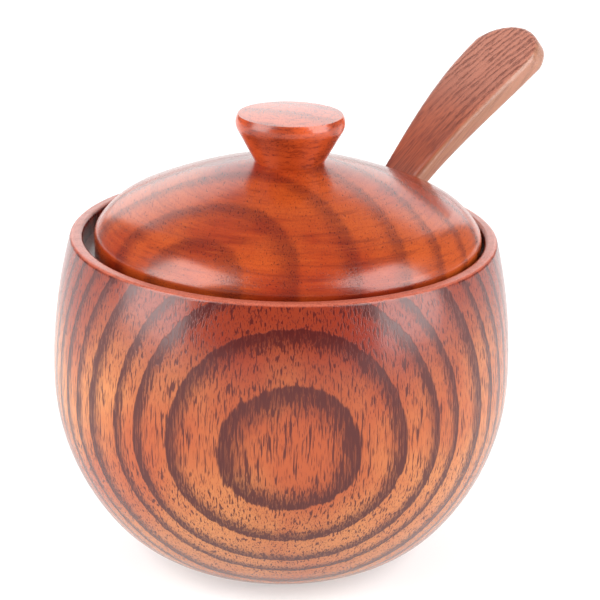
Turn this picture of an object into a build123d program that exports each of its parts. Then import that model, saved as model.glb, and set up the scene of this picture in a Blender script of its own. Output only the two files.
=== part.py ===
from build123d import *
import math
import os

# Turned wooden sugar bowl with a lid and a spoon. Millimetres, +Z up.
# The origin is the centre of the foot, on the surface that the bowl stands on.

# ---- driving dimensions: bowl ----
belly_radius = 50.0          # widest radius
belly_height = 41.5          # height of the widest point
rim_height = 72.4            # top of the rim
lower_radius = 50.5          # side arc below the belly
upper_radius = 115.0         # side arc above the belly
foot_blend_radius = 27.0     # arc from the side into the flat foot
rim_inner_radius = 43.1      # wall of the rebate that takes the lid
ledge_height = 68.2          # step that the lid lies on
throat_radius = 39.3         # way in below the ledge
cavity_radius = 44.0         # inside of the belly
cavity_belly_height = 43.0   # height where the inside is widest
floor_height = 8.0           # inside floor
floor_blend_radius = 20.0    # arc from the inside wall into the floor
rim_rounding = 0.9
edge_rounding = 0.6
edge_tolerance = 0.1         # for picking the throat's edge

# ---- driving dimensions: lid ----
lid_offset = 0.9             # the loose lid lies a little off the bowl's axis
knob_seat_radius = 7.4       # flat on top, as wide as the knob's neck
knob_seat_height = 88.1
dome_radius = 120.0
dome_start_slope = 11.0      # degrees below level, beside the knob
dome_end_slope = 24.9        # degrees, where the shoulder begins
shoulder_radius = 14.5
shoulder_end_slope = 57.0
lid_corner_radius = 3.0
seat_ring_radius = 34.0      # inside of the flat ring that rests on the ledge
dish_height = 80.6           # top of the dished underside
lid_edge_chamfer = 0.5
mortise_radius = 4.75
mortise_depth = 5.0

# ---- driving dimensions: knob ----
knob_height = 98.6           # top of the knob
knob_cone_radius = 11.2
knob_cone_height = 94.9      # where the straight cone ends
knob_widest_radius = 11.6
knob_widest_height = 96.4
knob_face_radius = 11.1      # edge of the top face
knob_crown = 0.4             # how far the top face rises
tenon_clearance = 0.05
tenon_end_gap = 0.3

# ---- driving dimensions: spoon, along its own handle ----
# The handle crosses the rim at the back right, so the spoon's x axis starts there.
spoon_azimuth = 38.0         # compass direction of the handle, from +X towards +Y
spoon_slope = 46.9           # degrees above level
spoon_roll = 6.0             # turned a little about its own length
crossing_azimuth = 50.5
crossing_radius = 39.3
handle_end = 52.4            # from the crossing to the free end
handle_end_start = 42.0      # where the rounded end begins
handle_end_width = 18.4
handle_thickness = 4.6       # at the neck
handle_end_thickness = 5.4
handle_shift = 0.3           # the handle lies a little to the front side of the oval bowl
handle_bend = 160.0          # the outer half bends gently downwards
handle_rounding = 1.1        # along the edges
end_rounding = 0.9           # around the free end
end_cut_margin = 0.3         # the rounded end is cut a little wider than the handle
handle_overlap = 4.0         # how far the handle runs into the spoon's bowl
handle_overrun = 4.0         # extra length that the rounded end cuts away
spoon_bowl_centre = -66.5
spoon_bowl_length = 37.0
spoon_bowl_width = 25.0
spoon_bowl_depth = 9.0
spoon_wall = 2.2
spoon_rim_level = 2.0        # rim plane of the spoon bowl above the handle's middle

# ---- driving dimensions: notch in the lid ----
notch_width = 13.4
notch_clearance = 0.8        # between the handle's upper face and the lid
notch_corner_radius = 2.5
notch_reach = 40.0           # length of the cutting block, longer than the lid's edge is deep


def slope_direction(degrees):
    """Unit direction that falls outwards at the given slope."""
    angle = math.radians(degrees)
    return (math.cos(angle), -math.sin(angle))


def blend_start(side_radius, blend_radius, rise):
    """Radius of the flat that an arc leaves to run tangent into a side arc.

    The side arc's centre stands 'rise' above the flat. Returns the flat's
    radius beyond the side arc's centre and the direction of the joint.
    """
    flat = math.sqrt((side_radius - blend_radius) ** 2 - (rise - blend_radius) ** 2)
    turn = math.degrees(math.atan2(flat, rise - blend_radius))
    return flat, turn


# ---- bowl: one turned block ----
side_centre = belly_radius - lower_radius
foot_flat, foot_turn = blend_start(lower_radius, foot_blend_radius, belly_height)
rise_to_rim = rim_height - belly_height
rim_outer_radius = belly_radius - upper_radius + math.sqrt(upper_radius ** 2 - rise_to_rim ** 2)
rim_turn = math.degrees(math.asin(rise_to_rim / upper_radius))

cavity_drop = cavity_belly_height - floor_height
floor_flat, floor_turn = blend_start(cavity_radius, floor_blend_radius, cavity_drop)
throat_rise = ledge_height - cavity_belly_height
throat_inset = cavity_radius - throat_radius
cavity_upper_radius = (throat_rise ** 2 + throat_inset ** 2) / (2 * throat_inset)
throat_turn = math.degrees(math.asin(throat_rise / cavity_upper_radius))

with BuildPart() as bowl:
    with BuildSketch(Plane.XZ):
        with BuildLine():
            foot = Line((0, 0), (side_centre + foot_flat, 0))
            foot_blend = JernArc(foot @ 1, (1, 0), foot_blend_radius, foot_turn)
            lower_side = JernArc(foot_blend @ 1, foot_blend % 1, lower_radius, 90 - foot_turn)
            upper_side = JernArc(lower_side @ 1, (0, 1), upper_radius, rim_turn)
            rim = Line(upper_side @ 1, (0, rim_height))
            Line(rim @ 1, (0, 0))
        make_face()
        # sugar cavity
        with BuildLine():
            floor = Line((0, floor_height), (floor_flat, floor_height))
            floor_blend = JernArc(floor @ 1, (1, 0), floor_blend_radius, floor_turn)
            wall = JernArc(floor_blend @ 1, floor_blend % 1, cavity_radius, 90 - floor_turn)
            throat = JernArc(wall @ 1, (0, 1), cavity_upper_radius, throat_turn)
            ledge = Line(throat @ 1, (rim_inner_radius, ledge_height))
            rebate = Line(ledge @ 1, (rim_inner_radius, rim_height))
            mouth = Line(rebate @ 1, (0, rim_height))
            Line(mouth @ 1, (0, floor_height))
        make_face(mode=Mode.SUBTRACT)
    revolve(axis=Axis.Z)
    rim_edges = bowl.edges().filter_by(GeomType.CIRCLE).group_by(Axis.Z)[-1]
    fillet(rim_edges, rim_rounding)
    throat_edge = bowl.edges().filter_by(
        lambda e: e.geom_type == GeomType.CIRCLE
        and abs(e.radius - throat_radius) < edge_tolerance
        and abs(e.center().Z - ledge_height) < edge_tolerance
    )
    fillet(throat_edge, edge_rounding)

# ---- placing the spoon and the notch ----
heading = math.radians(spoon_azimuth)
slope = math.radians(spoon_slope)
roll = math.radians(spoon_roll)
crossing = Vector(
    crossing_radius * math.cos(math.radians(crossing_azimuth)),
    crossing_radius * math.sin(math.radians(crossing_azimuth)),
    rim_height,
)
along = Vector(
    math.cos(heading) * math.cos(slope),
    math.sin(heading) * math.cos(slope),
    math.sin(slope),
)
level_side = Vector(-math.sin(heading), math.cos(heading), 0)
upper_face = along.cross(level_side)
rolled_face = upper_face * math.cos(roll) - level_side * math.sin(roll)
spoon_plane = Plane(origin=crossing, x_dir=along, z_dir=rolled_face)
notch_plane = Plane(origin=crossing, x_dir=level_side, z_dir=along)

# ---- lid: turned disc, dished below, with a notch for the handle ----
# The lid and its knob share a turning axis of their own.
lid_plane = Plane(origin=(lid_offset, 0, 0), x_dir=(1, 0, 0), z_dir=(0, -1, 0))
lid_axis = Axis((lid_offset, 0, 0), (0, 0, 1))
mortise_plane = Plane(origin=(lid_offset, 0, knob_seat_height - mortise_depth))
dish_rise = dish_height - ledge_height
dish_radius = (seat_ring_radius ** 2 + dish_rise ** 2) / (2 * dish_rise)
notch_top = handle_thickness / 2 + notch_clearance

with BuildPart() as lid:
    with BuildSketch(lid_plane):
        with BuildLine():
            seat_flat = Line((0, knob_seat_height), (knob_seat_radius, knob_seat_height))
            dome = JernArc(
                seat_flat @ 1,
                slope_direction(dome_start_slope),
                dome_radius,
                dome_start_slope - dome_end_slope,
            )
            shoulder = JernArc(
                dome @ 1, dome % 1, shoulder_radius, dome_end_slope - shoulder_end_slope
            )
            corner = JernArc(shoulder @ 1, shoulder % 1, lid_corner_radius, shoulder_end_slope - 90)
            lid_radius = (corner @ 1).X
            side = Line(corner @ 1, (lid_radius, ledge_height + lid_edge_chamfer))
            bevel = Line(side @ 1, (lid_radius - lid_edge_chamfer, ledge_height))
            ring = Line(bevel @ 1, (seat_ring_radius, ledge_height))
            dish = RadiusArc(ring @ 1, (0, dish_height), -dish_radius)
            Line(dish @ 1, (0, knob_seat_height))
        make_face()
    revolve(axis=lid_axis)
    # blind mortise for the knob's tenon
    with BuildSketch(mortise_plane):
        Circle(mortise_radius)
    extrude(amount=mortise_depth, mode=Mode.SUBTRACT)
    # notch through the edge, cut at the handle's own slant and open to the side
    with BuildSketch(notch_plane):
        with Locations((0, notch_top - notch_reach / 2)):
            RectangleRounded(notch_width, notch_reach, notch_corner_radius)
    extrude(amount=notch_reach / 2, both=True, mode=Mode.SUBTRACT)

# ---- knob: turned on its own, glued into the lid by its tenon ----
crown_radius = (knob_face_radius ** 2 + knob_crown ** 2) / (2 * knob_crown)

with BuildPart() as lid_knob:
    with BuildSketch(lid_plane):
        with BuildLine():
            tenon_radius = mortise_radius - tenon_clearance
            tenon_foot = knob_seat_height - mortise_depth + tenon_end_gap
            end = Line((0, tenon_foot), (tenon_radius, tenon_foot))
            tenon = Line(end @ 1, (tenon_radius, knob_seat_height))
            neck = Line(tenon @ 1, (knob_seat_radius, knob_seat_height))
            cone = Line(neck @ 1, (knob_cone_radius, knob_cone_height))
            band = ThreePointArc(
                cone @ 1,
                (knob_widest_radius, knob_widest_height),
                (knob_face_radius, knob_height - knob_crown),
            )
            crown = RadiusArc(band @ 1, (0, knob_height), -crown_radius)
            Line(crown @ 1, (0, tenon_foot))
        make_face()
    revolve(axis=lid_axis)

# ---- spoon: cut from one stick, made flat and then leaned in the bowl ----
handle_start = spoon_bowl_centre + spoon_bowl_length / 2 - handle_overlap
end_cut_half_width = handle_end_width / 2 + end_cut_margin


def handle_section_plane(x):
    """Plane across the handle: the neck is straight, and past x = 0 it bends down."""
    if x <= 0:
        return Plane(origin=(x, 0, 0), x_dir=(0, 1, 0), z_dir=(1, 0, 0))
    turn = math.asin(x / handle_bend)
    fall = handle_bend * (1 - math.cos(turn))
    return Plane(
        origin=(x, 0, -fall),
        x_dir=(0, 1, 0),
        z_dir=(math.cos(turn), 0, -math.sin(turn)),
    )


# place along the handle, width and thickness there
handle_sections = [
    (handle_start, 11.5, handle_thickness),
    (-40, 7.6, handle_thickness),
    (-28, 7.4, handle_thickness),
    (-14, 8.0, handle_thickness),
    (0, 9.8, handle_thickness),
    (14, 12.9, handle_thickness + 0.3),
    (28, 16.5, handle_thickness + 0.6),
    (handle_end_start, handle_end_width, handle_end_thickness),
    (handle_end + handle_overrun, handle_end_width, handle_end_thickness),
]

with BuildPart() as handle:
    for x, width, thickness in handle_sections:
        with BuildSketch(handle_section_plane(x)):
            with Locations((-handle_shift, 0)):
                RectangleRounded(width, thickness, handle_rounding)
    loft()
    # round the free end, seen from above
    with BuildSketch(Plane.XY.offset(-spoon_bowl_width)):
        with BuildLine():
            end_round = EllipticalCenterArc(
                (handle_end_start, -handle_shift),
                handle_end - handle_end_start,
                end_cut_half_width,
                start_angle=-90,
                arc_size=180,
            )
            Polyline(
                end_round @ 1,
                (handle_end_start, spoon_bowl_width),
                (handle_start - handle_overrun, spoon_bowl_width),
                (handle_start - handle_overrun, -spoon_bowl_width),
                (handle_end_start, -spoon_bowl_width),
                end_round @ 0,
            )
        make_face()
    extrude(amount=2 * spoon_bowl_width, mode=Mode.INTERSECT)
    end_edges = handle.edges().filter_by(
        lambda e: e.center().X > handle_end_start and e.length > handle_end_thickness
    )
    fillet(end_edges, end_rounding)

with BuildPart() as oval_bowl:
    # half an oval, hollowed later once the handle is on it
    Sphere(1)
    scale(by=(spoon_bowl_length / 2, spoon_bowl_width / 2, spoon_bowl_depth))
    split(bisect_by=Plane.XY, keep=Keep.BOTTOM)

with BuildPart() as hollow:
    Sphere(1)
    scale(
        by=(
            spoon_bowl_length / 2 - spoon_wall,
            spoon_bowl_width / 2 - spoon_wall,
            spoon_bowl_depth - spoon_wall,
        )
    )

with BuildPart() as spoon:
    with Locations(spoon_plane.location):
        add(handle.part)
    with Locations((spoon_plane.location * Pos(spoon_bowl_centre, 0, spoon_rim_level))):
        add(oval_bowl.part)
        add(hollow.part, mode=Mode.SUBTRACT)

# ---- write each piece ----
os.makedirs("parts", exist_ok=True)
pieces = {"bowl": bowl, "lid": lid, "lid_knob": lid_knob, "spoon": spoon}
for name, piece in pieces.items():
    piece.part.label = name
    export_step(piece.part, f"parts/{name}.step")
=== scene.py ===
import bpy
import math
from mathutils import Matrix, Vector

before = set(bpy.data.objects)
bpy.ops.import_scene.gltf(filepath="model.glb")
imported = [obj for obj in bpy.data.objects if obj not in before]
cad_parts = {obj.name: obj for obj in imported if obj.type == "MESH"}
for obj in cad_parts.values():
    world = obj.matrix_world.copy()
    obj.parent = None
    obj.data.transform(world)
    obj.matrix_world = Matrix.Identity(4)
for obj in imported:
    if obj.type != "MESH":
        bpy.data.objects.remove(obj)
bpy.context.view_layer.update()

MM = 0.001

# The camera stands in front (-Y) and looks a little down.
CAMERA_ELEVATION = 20.49        # degrees
CAMERA_DISTANCE = 366.5 * MM    # to the target on the turning axis
CAMERA_TARGET_HEIGHT = 56.35 * MM
CAMERA_LENS = 100.33            # on a 36 mm sensor
CAMERA_ROLL = 1.19              # degrees: the top of the bowl leans to the right
CAMERA_SHIFT_X = 0.0293

LID_AXIS_X = 0.9                # mm: the lid lies a little to the right of the bowl's axis
DENT_DEPTH = 0.06 * MM          # how deep pores and fibre lines go
LAYERS_BEYOND = 90.0            # mm of evenly spaced growth layers behind the listed ones
SILK_STRETCH = 40.0             # how much longer than wide the silky fibre lines are


# ---------------------------------------------------------------- node helpers

class Nodes:
    """A thin wrapper that makes shader nodes and links them in one call."""

    def __init__(self, tree):
        self.tree = tree

    def add(self, kind, **settings):
        node = self.tree.nodes.new(kind)
        for name, value in settings.items():
            setattr(node, name, value)
        return node

    def link(self, value, socket):
        """Feeds a socket from another socket, or sets it to a plain value."""
        if isinstance(value, bpy.types.NodeSocket):
            self.tree.links.new(value, socket)
        else:
            socket.default_value = value

    def math(self, operation, a, b=0.0, c=0.0, clamp=False):
        node = self.add("ShaderNodeMath", operation=operation, use_clamp=clamp)
        for value, socket in zip((a, b, c), node.inputs):
            self.link(value, socket)
        return node.outputs[0]

    def vector(self, operation, a, b=(0, 0, 0), scale=None):
        node = self.add("ShaderNodeVectorMath", operation=operation)
        self.link(a, node.inputs[0])
        self.link(b, node.inputs[1])
        if scale is not None:
            self.link(scale, node.inputs["Scale"])
        return node.outputs["Value"] if operation == "DOT_PRODUCT" else node.outputs["Vector"]

    def combine(self, x, y, z):
        node = self.add("ShaderNodeCombineXYZ")
        for value, socket in zip((x, y, z), node.inputs):
            self.link(value, socket)
        return node.outputs[0]

    def noise(self, vector, scale, detail=2.0, roughness=0.5, offset=0.0):
        node = self.add("ShaderNodeTexNoise", noise_dimensions="3D")
        if offset:
            vector = self.vector("ADD", vector, (offset, offset * 0.7, -offset))
        self.link(vector, node.inputs["Vector"])
        node.inputs["Scale"].default_value = scale
        node.inputs["Detail"].default_value = detail
        node.inputs["Roughness"].default_value = roughness
        node.inputs["Distortion"].default_value = 0.0
        return node.outputs["Fac"]

    def smooth(self, value, low, high, out_low=0.0, out_high=1.0):
        """Smooth step from low to high."""
        node = self.add("ShaderNodeMapRange", interpolation_type="SMOOTHSTEP")
        for v, name in (
            (value, "Value"), (low, "From Min"), (high, "From Max"),
            (out_low, "To Min"), (out_high, "To Max"),
        ):
            self.link(v, node.inputs[name])
        return node.outputs["Result"]

    def ramp(self, value, stops):
        node = self.add("ShaderNodeValToRGB")
        ramp = node.color_ramp
        ramp.interpolation = "LINEAR"
        while len(ramp.elements) < len(stops):
            ramp.elements.new(0.5)
        for element, (place, colour) in zip(ramp.elements, stops):
            element.position = place
            element.color = (*colour, 1.0)
        self.link(value, node.inputs["Fac"])
        return node.outputs["Color"]

    def mix(self, factor, a, b, blend="MIX"):
        node = self.add("ShaderNodeMix", data_type="RGBA", blend_type=blend)
        self.link(factor, node.inputs[0])
        self.link((*a, 1.0) if isinstance(a, tuple) and len(a) == 3 else a, node.inputs[6])
        self.link((*b, 1.0) if isinstance(b, tuple) and len(b) == 3 else b, node.inputs[7])
        return node.outputs[2]


def srgb(red, green, blue):
    """Linear colour from 8-bit display values."""
    def linear(value):
        value /= 255
        return value / 12.92 if value <= 0.04045 else ((value + 0.055) / 1.055) ** 2.4
    return (linear(red), linear(green), linear(blue))


def principled(name):
    """A new material with its tree wrapper and its shader."""
    material = bpy.data.materials.new(name)
    material.use_nodes = True
    nodes = Nodes(material.node_tree)
    shader = material.node_tree.nodes["Principled BSDF"]
    return material, nodes, shader


# ---------------------------------------------------------------- wood

def lacquered_wood(name, look):
    """Ring-porous wood under a clear lacquer, cut out of a solid block.

    look gives the block's own frame: 'fibre' runs along the pores and 'across'
    crosses the growth layers. The figure is a function of the place in the
    block, so it follows the turned shape by itself. Painted light comes on top:
    faces that point one way can be painted paler, as if lit.
    """
    material, n, shader = principled(name)
    place = n.add("ShaderNodeTexCoord").outputs["Object"]
    # millimetres in the block's frame
    place = n.vector("SCALE", place, scale=1 / MM)
    fibre, across = Vector(look["fibre"]).normalized(), Vector(look["across"]).normalized()
    side = across.cross(fibre).normalized()
    along_fibre = n.vector("DOT_PRODUCT", place, tuple(fibre))
    along_side = n.vector("DOT_PRODUCT", place, tuple(side))
    depth = n.vector("DOT_PRODUCT", place, tuple(across))
    block = n.combine(along_side, depth, along_fibre)

    # growth layers: gently curved sheets with uneven thickness
    slow = n.combine(along_side, depth, n.math("MULTIPLY", along_fibre, 0.35))
    wander = n.noise(slow, look["wander_scale"], detail=2.0, offset=look["seed"])
    fine = n.noise(n.combine(along_side, depth, n.math("MULTIPLY", along_fibre, look["ragged_pull"])),
                   0.45, detail=3.0, roughness=0.6, offset=look["seed"] + 7)
    if look["arch"]:
        # nested arches, as where a board is cut flat through the cone of the trunk
        centre_side, centre_fibre, longer = look["arch"]
        over = n.math("SUBTRACT", along_side, centre_side)
        out = n.math("DIVIDE", n.math("SUBTRACT", along_fibre, centre_fibre), longer)
        layer = n.math("SQRT", n.math("ADD", n.math("POWER", over, 2.0), n.math("POWER", out, 2.0)))
        layer = n.math("ADD", layer, n.math("MULTIPLY", depth, look["lean"]))
    else:
        # sheets that bow along the fibre, cut by the round side into nested rings
        bow = n.math("POWER", n.math("SUBTRACT", along_fibre, look["bow_centre"]), 2.0)
        layer = n.math("ADD", depth, n.math("MULTIPLY", bow, look["bow"]))
        layer = n.math("ADD", layer, n.math("MULTIPLY", along_side, look["lean"]))
    layer = n.math("ADD", layer, n.math("MULTIPLY", n.math("SUBTRACT", wander, 0.5), look["wander"]))
    layer = n.math("ADD", layer, n.math("MULTIPLY", n.math("SUBTRACT", fine, 0.5), look["ragged"]))
    # the year in which each place grew: whole numbers where one layer ends
    edges = look["layer_edges"]
    first, last = edges[0], edges[-1] + LAYERS_BEYOND
    years = len(edges) - 1 + LAYERS_BEYOND / look["spacing"]
    stops = [((edge - first) / (last - first), (index / years,) * 3)
             for index, edge in enumerate(edges)]
    stops.append((1.0, (1.0, 1.0, 1.0)))
    share = n.math("DIVIDE", n.math("SUBTRACT", layer, first), last - first)
    count = n.math("MULTIPLY", n.ramp(share, stops), years)
    phase = n.math("FRACT", count)
    which = n.math("FLOOR", count)
    vary = n.noise(n.combine(which, which, look["seed"]), 1.7, detail=0.0)

    # dark late wood grows towards the end of a layer and stops sharply; it comes and goes in patches
    start = n.math("ADD", look["dark_start"], n.math("MULTIPLY", n.math("SUBTRACT", vary, 0.5), 0.5))
    late = n.smooth(phase, start, look["edge_fade"] - 0.02)
    edge = n.smooth(phase, look["edge_fade"], 1.0, 1.0, 0.0)
    late = n.math("MULTIPLY", late, edge)
    patch = n.noise(slow, 0.09, detail=2.0, offset=look["seed"] + 33)
    late = n.math("MULTIPLY", late, n.smooth(patch, 0.38, 0.6, 1.0 - look["patchy"], 1.0))

    # pores: long thin vessels along the fibre, crowded in the dark wood
    stretch = look["pore_stretch"]
    pore_space = n.combine(along_side, depth, n.math("DIVIDE", along_fibre, stretch))
    big = n.noise(pore_space, look["pore_scale"], detail=1.0, roughness=0.4, offset=3.1)
    small = n.noise(pore_space, look["pore_scale"] * 2.3, detail=1.0, roughness=0.4, offset=9.4)
    limit = n.math("SUBTRACT", look["pore_limit"], n.math("MULTIPLY", late, look["pore_crowd"]))
    pores = n.smooth(big, limit, n.math("ADD", limit, 0.09))
    specks = n.smooth(small, n.math("ADD", limit, 0.015), n.math("ADD", limit, 0.10))
    pores = n.math("MAXIMUM", pores, n.math("MULTIPLY", specks, 0.75))

    # slow colour drift and fine silky fibre lines
    drift = n.noise(block, 0.035, detail=3.0, offset=look["seed"] + 21)
    silk_space = n.combine(along_side, depth, n.math("DIVIDE", along_fibre, SILK_STRETCH))
    silk = n.noise(silk_space, look["silk_scale"], detail=3.0, roughness=0.65, offset=5.5)

    pale, warm, dark, pore = (look[key] for key in ("pale", "warm", "dark", "pore"))
    base = n.mix(n.smooth(drift, 0.35, 0.68), pale, warm)
    base = n.mix(n.math("MULTIPLY", n.smooth(silk, 0.42, 0.66), look["silk"]), base, warm)
    if look["height_tint"]:
        # the colour shifts with height towards the look's rim colour: darker red towards the bowl's
        # rim, paler pink towards the end of the spoon's handle
        start_height, full_height, amount = look["height_tint"]
        uneven = n.math("MULTIPLY", n.math("SUBTRACT", drift, 0.5), 14.0)
        height = n.math("ADD", along_fibre, uneven)
        base = n.mix(n.smooth(height, start_height, full_height, 0.0, amount), base, look["rim"])
    tint = n.math("MULTIPLY", late, look["late_strength"])
    base = n.mix(tint, base, dark)
    base = n.mix(n.math("MULTIPLY", pores, look["pore_strength"]), base, pore)

    if look["lathe"]:
        # fine lines and stain streaks that run around the turned surface
        spin = n.add("ShaderNodeSeparateXYZ")
        n.link(place, spin.inputs[0])
        from_axis = n.math("SUBTRACT", spin.outputs["X"], LID_AXIS_X)
        radius = n.math("SQRT", n.math("ADD", n.math("POWER", from_axis, 2.0),
                                       n.math("POWER", spin.outputs["Y"], 2.0)))
        turn = n.math("ARCTAN2", from_axis, n.math("MULTIPLY", spin.outputs["Y"], -1.0))
        around = n.combine(radius, n.math("MULTIPLY", turn, 3.0), spin.outputs["Z"])
        streak = n.noise(around, 0.9, detail=4.0, roughness=0.7, offset=look["seed"])
        base = n.mix(n.smooth(streak, 0.46, 0.72, 0.0, look["lathe"]), base, dark)
        base = n.mix(n.smooth(streak, 0.46, 0.28, 0.0, look["lathe"]), base, pale)
    if look["painted_lit_side"]:
        # painted light: faces that point one way are painted paler, as if lit, with the fibre lines
        # still showing through
        facing, painted_light_colour = look["painted_lit_side"]
        normal = n.add("ShaderNodeTexCoord").outputs["Normal"]
        turned = n.vector("DOT_PRODUCT", normal, facing)
        grained = n.math("SUBTRACT", 0.85, n.math("MULTIPLY", n.smooth(silk, 0.4, 0.66), 0.45))
        base = n.mix(n.math("MULTIPLY", n.smooth(turned, 0.45, 0.85), grained), base, painted_light_colour)

    base = n.mix(1.0, base, (look["depth"],) * 3, blend="MULTIPLY")
    n.link(base, shader.inputs["Base Color"])
    rough = n.math("ADD", look["roughness"], n.math("MULTIPLY", pores, 0.12))
    n.link(rough, shader.inputs["Roughness"])
    shader.inputs["Specular IOR Level"].default_value = 0.05
    shader.inputs["Coat Weight"].default_value = look["coat"]
    shader.inputs["Coat Roughness"].default_value = look["coat_roughness"]
    shader.inputs["Coat IOR"].default_value = 1.43

    # pores and fibre lines are shallow dents, which the lacquer follows less sharply
    dent = n.math("ADD", n.math("MULTIPLY", pores, -1.0), n.math("MULTIPLY", silk, 0.25))
    bump = n.add("ShaderNodeBump")
    bump.inputs["Strength"].default_value = look["bump"]
    bump.inputs["Distance"].default_value = DENT_DEPTH
    n.link(dent, bump.inputs["Height"])
    n.link(bump.outputs["Normal"], shader.inputs["Normal"])
    soft = n.add("ShaderNodeBump")
    soft.inputs["Strength"].default_value = look["coat_bump"]
    soft.inputs["Distance"].default_value = DENT_DEPTH
    ripple = n.noise(block, 0.35, detail=2.0, offset=2.2)
    n.link(n.math("ADD", dent, n.math("MULTIPLY", ripple, look["ripple"])), soft.inputs["Height"])
    n.link(soft.outputs["Normal"], shader.inputs["Coat Normal"])
    return material


# Lengths are in millimetres and colours in 8-bit display values. The layer edges
# are counted along 'across', from the front of the bowl and from the arch's centre.
BOWL_LOOK = dict(
    fibre=(0, 0, 1), across=(0, 1, 0), seed=11.0, arch=None,
    layer_edges=(-51.2, -47.9, -43.8, -39.2, -35.7, -29.5, -25.2), spacing=4.6,
    bow=0.0048, bow_centre=43.5, lean=-0.04,
    wander_scale=0.035, wander=1.4, ragged=0.8, ragged_pull=0.2,
    dark_start=0.46, late_strength=0.72, edge_fade=0.95, patchy=0.0,
    pore_stretch=15.0, pore_scale=2.8, pore_limit=0.57, pore_crowd=0.17,
    pore_strength=0.9, silk=0.35, silk_scale=4.2,
    pale=srgb(206, 128, 70), warm=srgb(178, 80, 34), dark=srgb(70, 6, 3), pore=srgb(74, 8, 4),
    rim=srgb(128, 22, 2), depth=0.76, height_tint=(44.0, 68.0, 0.9), lathe=0.0,
    # painted light: faces pointing up are painted a paler pink
    painted_lit_side=((0, 0, 1), srgb(206, 108, 84)),
    roughness=0.5, coat=1.0, coat_roughness=0.2, bump=0.6, coat_bump=0.2, ripple=0.5,
)

LID_LOOK = dict(
    BOWL_LOOK, fibre=(0, 1, 0), across=(0, 0, -1), seed=37.0,
    arch=(-20.0, -40.0, 1.0), lean=0.0,
    layer_edges=(0.0, 13.0, 24.0, 37.0, 47.0, 55.0, 62.0), spacing=7.0,
    dark_start=0.42, late_strength=0.45, edge_fade=0.84, ragged=1.4, wander=4.0,
    pore_stretch=6.0, pore_scale=3.4, pore_limit=0.64, pore_crowd=0.06, pore_strength=0.6,
    pale=srgb(198, 86, 30), warm=srgb(150, 32, 8), dark=srgb(84, 12, 12), pore=srgb(66, 10, 8),
    depth=0.66, height_tint=None, lathe=0.42, painted_lit_side=None,
)

KNOB_LOOK = dict(
    LID_LOOK, seed=53.0, pale=srgb(206, 84, 36), warm=srgb(168, 42, 14),
    late_strength=0.4, lathe=0.7, depth=0.72,
)

SPOON_LOOK = dict(
    BOWL_LOOK, fibre=(0.5384, 0.4207, 0.7302), across=(-0.616, 0.788, 0.12), seed=71.0,
    layer_edges=(-40.0, -38.4), spacing=1.6, bow=0.0, lean=0.3,
    wander=5.0, ragged=3.2, ragged_pull=0.02,
    dark_start=0.1, late_strength=0.34, edge_fade=0.75, patchy=0.85,
    pore_stretch=40.0, pore_limit=0.64, pore_strength=0.45, silk=1.0, silk_scale=3.4,
    pale=srgb(176, 84, 52), warm=srgb(122, 42, 28), dark=srgb(84, 22, 18), pore=srgb(72, 20, 18),
    rim=srgb(214, 146, 124), depth=0.62, height_tint=(84.0, 124.0, 0.72),
    # painted light: faces pointing to the front right are painted paler
    painted_lit_side=((0.616, -0.788, 0.0), srgb(176, 122, 92)), coat_roughness=0.3,
)

for node, look in (
    ("bowl", BOWL_LOOK), ("lid", LID_LOOK), ("lid_knob", KNOB_LOOK), ("spoon", SPOON_LOOK),
):
    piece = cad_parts[node]
    piece.data.materials.clear()
    piece.data.materials.append(lacquered_wood(node + "_wood", look))


# The spoon is carved by hand: its edges are softer than the modelled ones.
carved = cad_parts["spoon"].modifiers.new("carved", "REMESH")
carved.mode = "VOXEL"
carved.voxel_size = 0.4 * MM
carved.use_smooth_shade = True
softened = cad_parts["spoon"].modifiers.new("softened", "SMOOTH")
softened.factor = 0.5
softened.iterations = 10


# ---------------------------------------------------------------- stage

def floor_sheet():
    """A large flat sheet of pale studio paper."""
    material, n, shader = principled("studio_paper")
    place = n.add("ShaderNodeTexCoord").outputs["Object"]
    tooth = n.noise(place, 900.0, detail=3.0)
    n.link(n.mix(n.math("MULTIPLY", tooth, 0.5), (0.62, 0.62, 0.62), (0.58, 0.58, 0.58)),
           shader.inputs["Base Color"])
    shader.inputs["Roughness"].default_value = 0.9
    shader.inputs["Specular IOR Level"].default_value = 0.1
    # the paper glows a little, more so further out, so it stays white around the bowl
    shader.inputs["Emission Color"].default_value = (1, 1, 1, 1)
    away = n.add("ShaderNodeVectorMath", operation="LENGTH")
    n.link(place, away.inputs[0])
    n.link(n.smooth(away.outputs["Value"], 0.4, 1.3, 0.4, 1.05), shader.inputs["Emission Strength"])
    half = 4.0
    mesh = bpy.data.meshes.new("floor")
    corners = [(-half, -half, 0), (half, -half, 0), (half, half, 0), (-half, half, 0)]
    mesh.from_pydata(corners, [], [(0, 1, 2, 3)])
    mesh.materials.append(material)
    sheet = bpy.data.objects.new("floor", mesh)
    bpy.context.scene.collection.objects.link(sheet)
    return sheet


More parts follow.
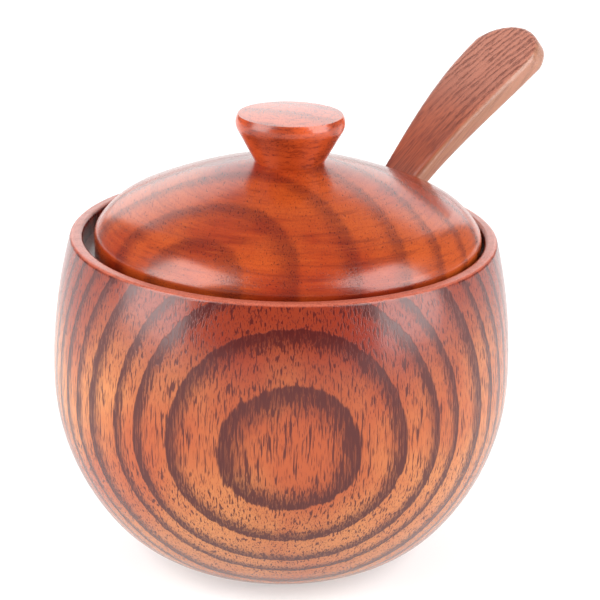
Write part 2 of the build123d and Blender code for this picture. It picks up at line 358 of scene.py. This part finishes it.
def softbox(name, azimuth, elevation, distance, width, height, radiance):
    """A rectangular light aimed at the bowl; azimuth 0 is in front, 90 to the right."""
    turn, lift = math.radians(azimuth), math.radians(elevation)
    away = Vector((math.sin(turn) * math.cos(lift), -math.cos(turn) * math.cos(lift), math.sin(lift)))
    data = bpy.data.lights.new(name, "AREA")
    data.shape = "RECTANGLE"
    data.size, data.size_y = width, height
    data.energy = radiance * math.pi * width * height
    lamp = bpy.data.objects.new(name, data)
    lamp.location = Vector((0, 0, 50 * MM)) + away * distance
    lamp.rotation_mode = "QUATERNION"
    lamp.rotation_quaternion = (-away).to_track_quat("-Z", "Y")
    lamp.visible_camera = False
    bpy.context.scene.collection.objects.link(lamp)
    return lamp


floor_sheet()
softbox("softbox_left", -66, 27, 1.1, 0.8, 1.25, 7.8)
softbox("softbox_right", 66, 26, 1.1, 0.8, 1.25, 7.6)
softbox("softbox_back", 180, 23, 1.2, 1.4, 0.85, 1.7)

world = bpy.data.worlds.new("studio")
bpy.context.scene.world = world
world.use_nodes = True
room = Nodes(world.node_tree)
backdrop = world.node_tree.nodes["Background"]
backdrop.inputs["Color"].default_value = (1, 1, 1, 1)
seen = room.add("ShaderNodeLightPath").outputs["Is Camera Ray"]
room.link(room.math("ADD", 0.22, room.math("MULTIPLY", seen, 0.85)), backdrop.inputs["Strength"])

# ---------------------------------------------------------------- camera

elevation = math.radians(CAMERA_ELEVATION)
target = Vector((0, 0, CAMERA_TARGET_HEIGHT))
towards = Vector((0, -math.cos(elevation), math.sin(elevation)))
camera_data = bpy.data.cameras.new("camera")
camera_data.sensor_width = 36.0
camera_data.lens = CAMERA_LENS
camera_data.shift_x = CAMERA_SHIFT_X
camera_data.clip_start, camera_data.clip_end = 0.01, 20.0
camera = bpy.data.objects.new("camera", camera_data)
camera.location = target + towards * CAMERA_DISTANCE
camera.rotation_mode = "QUATERNION"
level = (-towards).to_track_quat("-Z", "Y")
roll = Matrix.Rotation(math.radians(CAMERA_ROLL), 3, towards).to_quaternion()
camera.rotation_quaternion = roll @ level
bpy.context.scene.collection.objects.link(camera)
bpy.context.scene.camera = camera

bpy.context.scene.view_settings.view_transform = "Standard"
bpy.context.scene.view_settings.look = "None"
